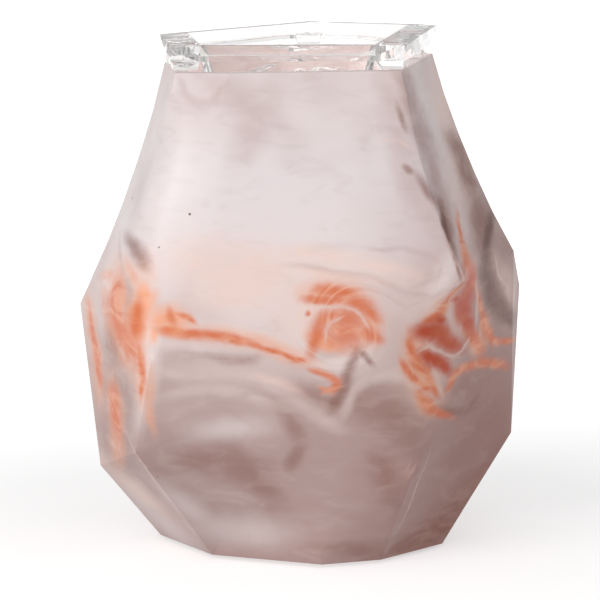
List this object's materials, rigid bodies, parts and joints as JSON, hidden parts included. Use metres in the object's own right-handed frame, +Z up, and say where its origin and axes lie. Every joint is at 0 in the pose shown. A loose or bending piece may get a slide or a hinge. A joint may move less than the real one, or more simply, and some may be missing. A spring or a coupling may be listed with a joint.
{
  "type": "wax warmer",
  "caption": "Faceted marbled glass shade over a small lamp, with a clear glass dish on its rim for melting scented wax; the dish lifts off and the lamp unscrews.",
  "frame": {"origin": "middle of the shade's footprint box, on the surface that it stands on", "axes": "+Z up along the lamp, -Y towards the front seen in the picture, +X to the right seen from the front"},
  "size_m": [0.144, 0.128, 0.165],
  "materials": {
    "marbled_glass": "moulded marbled glass, satin gloss",
    "clear_glass": "pressed clear glass, polished",
    "lamp_glass": "blown clear glass, polished",
    "enamelled_steel": "baked enamel, satin",
    "zinc_steel": "zinc plated, satin",
    "spring_steel": "blued spring steel",
    "brass": "bright brass",
    "nickel": "nickel plated, bright",
    "black_phenolic": "moulded phenolic, satin",
    "silicone_rubber": "matt silicone",
    "black_rubber": "matt rubber",
    "tungsten": "drawn wire"
  },
  "bodies": {
    "warmer": {"shade": "marbled_glass", "base_plate": "enamelled_steel", "base_gasket": "silicone_rubber", "cord_grommet": "black_rubber", "rubber_foot_1": "black_rubber", "rubber_foot_2": "black_rubber", "rubber_foot_3": "black_rubber", "rubber_foot_4": "black_rubber", "spring_clip_1": "spring_steel", "spring_clip_2": "spring_steel", "spring_clip_3": "spring_steel", "clip_rivet_1": "zinc_steel", "clip_rivet_2": "zinc_steel", "clip_rivet_3": "zinc_steel", "holder_bracket": "zinc_steel", "bracket_screw_1": "zinc_steel", "bracket_screw_2": "zinc_steel", "threaded_nipple": "zinc_steel", "nipple_nut_lower": "zinc_steel", "nipple_nut_upper": "zinc_steel", "lampholder_body": "black_phenolic", "lampholder_shell": "brass", "centre_contact": "brass", "terminal_screw_1": "brass", "terminal_screw_2": "brass"},
    "dish": {"wax_dish": "clear_glass"},
    "bulb": {"bulb_glass": "lamp_glass", "bulb_cap": "nickel", "cap_insulator": "black_phenolic", "cap_contact": "nickel", "bulb_stem": "lamp_glass", "lead_wire_left": "nickel", "lead_wire_right": "nickel", "filament": "tungsten"}
  },
  "joints": [
    {"name": "dish_lift", "type": "slide", "parent": "warmer", "child": "dish", "axis": [0, 0, 1], "range_m": [0, 0.06]},
    {"name": "bulb_unscrew", "type": "slide", "parent": "warmer", "child": "bulb", "axis": [0, 0, 1], "range_m": [0, 0.018]}
  ]
}
